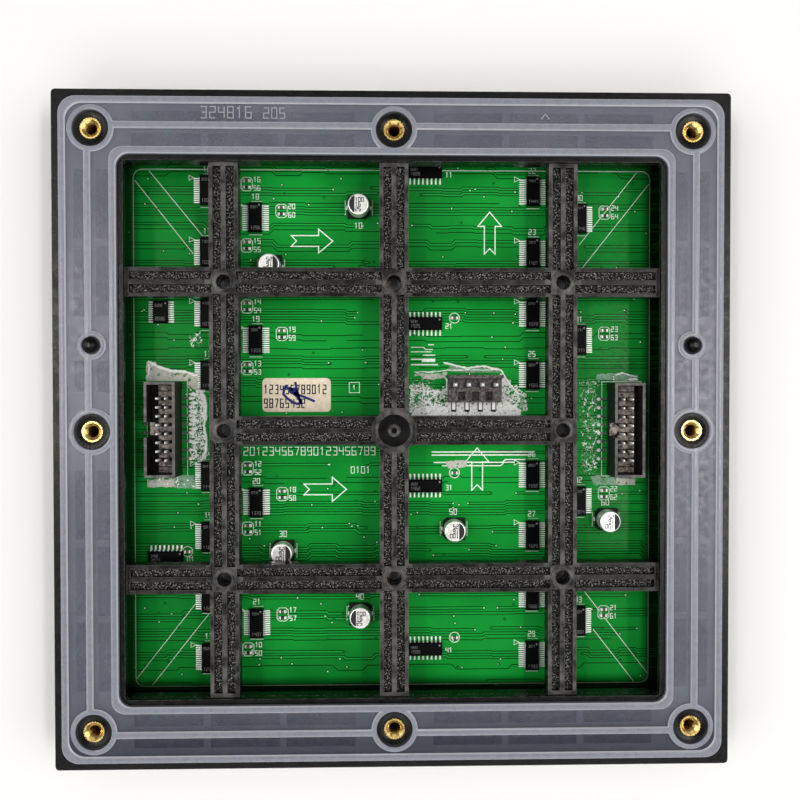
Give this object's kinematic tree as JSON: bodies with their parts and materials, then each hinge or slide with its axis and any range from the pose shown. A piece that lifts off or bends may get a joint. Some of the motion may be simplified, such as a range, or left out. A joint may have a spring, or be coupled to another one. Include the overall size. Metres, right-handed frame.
{
  "type": "led display module",
  "caption": "Square outdoor LED display module seen from the back: black moulded case with a lattice over a green circuit board, a sealing gasket and brass inserts.",
  "frame": {"origin": "middle of the front face, on the plane of the louvre tips", "axes": "+Z out of the back of the module, towards the cabinet; X and Y along the sides, +Y towards the side that is up in the display"},
  "size_m": [0.192, 0.192, 0.0235],
  "materials": {
    "case_plastic": "black moulded plastic, fine texture on the channel floors",
    "mask_plastic": "matt black moulded plastic",
    "gasket_silicone": "translucent grey silicone",
    "insert_brass": "turned brass",
    "board_mask": "green solder mask over copper tracks, white printed lines",
    "emitter_face": "white package with clear resin",
    "screw_steel": "blackened steel",
    "chip_epoxy": "black moulding compound, tinned leads",
    "header_plastic": "black glass-filled plastic",
    "tinned_metal": "tin plate",
    "can_aluminium": "drawn aluminium can with a black printed segment, black base",
    "chip_ceramic": "tan ceramic with tinned ends",
    "resistor_ceramic": "black coated ceramic with tinned ends",
    "label_paper": "beige paper"
  },
  "bodies": {
    "root": {"buffer_chip": "chip_epoxy", "capacitor_1": "can_aluminium", "capacitor_2": "can_aluminium", "capacitor_3": "can_aluminium", "capacitor_4": "can_aluminium", "capacitor_5": "can_aluminium", "capacitor_6": "can_aluminium", "chip_capacitors": "chip_ceramic", "chip_resistors": "resistor_ceramic", "circuit_board": "board_mask", "data_header_left_housing": "header_plastic", "data_header_left_posts": "tinned_metal", "data_header_right_housing": "header_plastic", "data_header_right_posts": "tinned_metal", "decoder_chip": "chip_epoxy", "driver_chip_01": "chip_epoxy", "driver_chip_02": "chip_epoxy", "driver_chip_03": "chip_epoxy", "driver_chip_04": "chip_epoxy", "driver_chip_05": "chip_epoxy", "driver_chip_06": "chip_epoxy", "driver_chip_07": "chip_epoxy", "driver_chip_08": "chip_epoxy", "driver_chip_09": "chip_epoxy", "driver_chip_10": "chip_epoxy", "driver_chip_11": "chip_epoxy", "driver_chip_12": "chip_epoxy", "driver_chip_13": "chip_epoxy", "driver_chip_14": "chip_epoxy", "driver_chip_15": "chip_epoxy", "driver_chip_16": "chip_epoxy", "driver_chip_17": "chip_epoxy", "driver_chip_18": "chip_epoxy", "driver_chip_19": "chip_epoxy", "driver_chip_20": "chip_epoxy", "driver_chip_21": "chip_epoxy", "driver_chip_22": "chip_epoxy", "driver_chip_23": "chip_epoxy", "driver_chip_24": "chip_epoxy", "front_mask": "mask_plastic", "led_rows": "emitter_face", "mask_screws": "screw_steel", "paper_label": "label_paper", "power_header_housing": "header_plastic", "power_header_posts": "tinned_metal", "rear_case": "case_plastic", "row_chip_1": "chip_epoxy", "row_chip_2": "chip_epoxy", "row_chip_3": "chip_epoxy", "row_chip_4": "chip_epoxy", "seal_gasket": "gasket_silicone", "threaded_inserts": "insert_brass"}
  },
  "joints": []
}
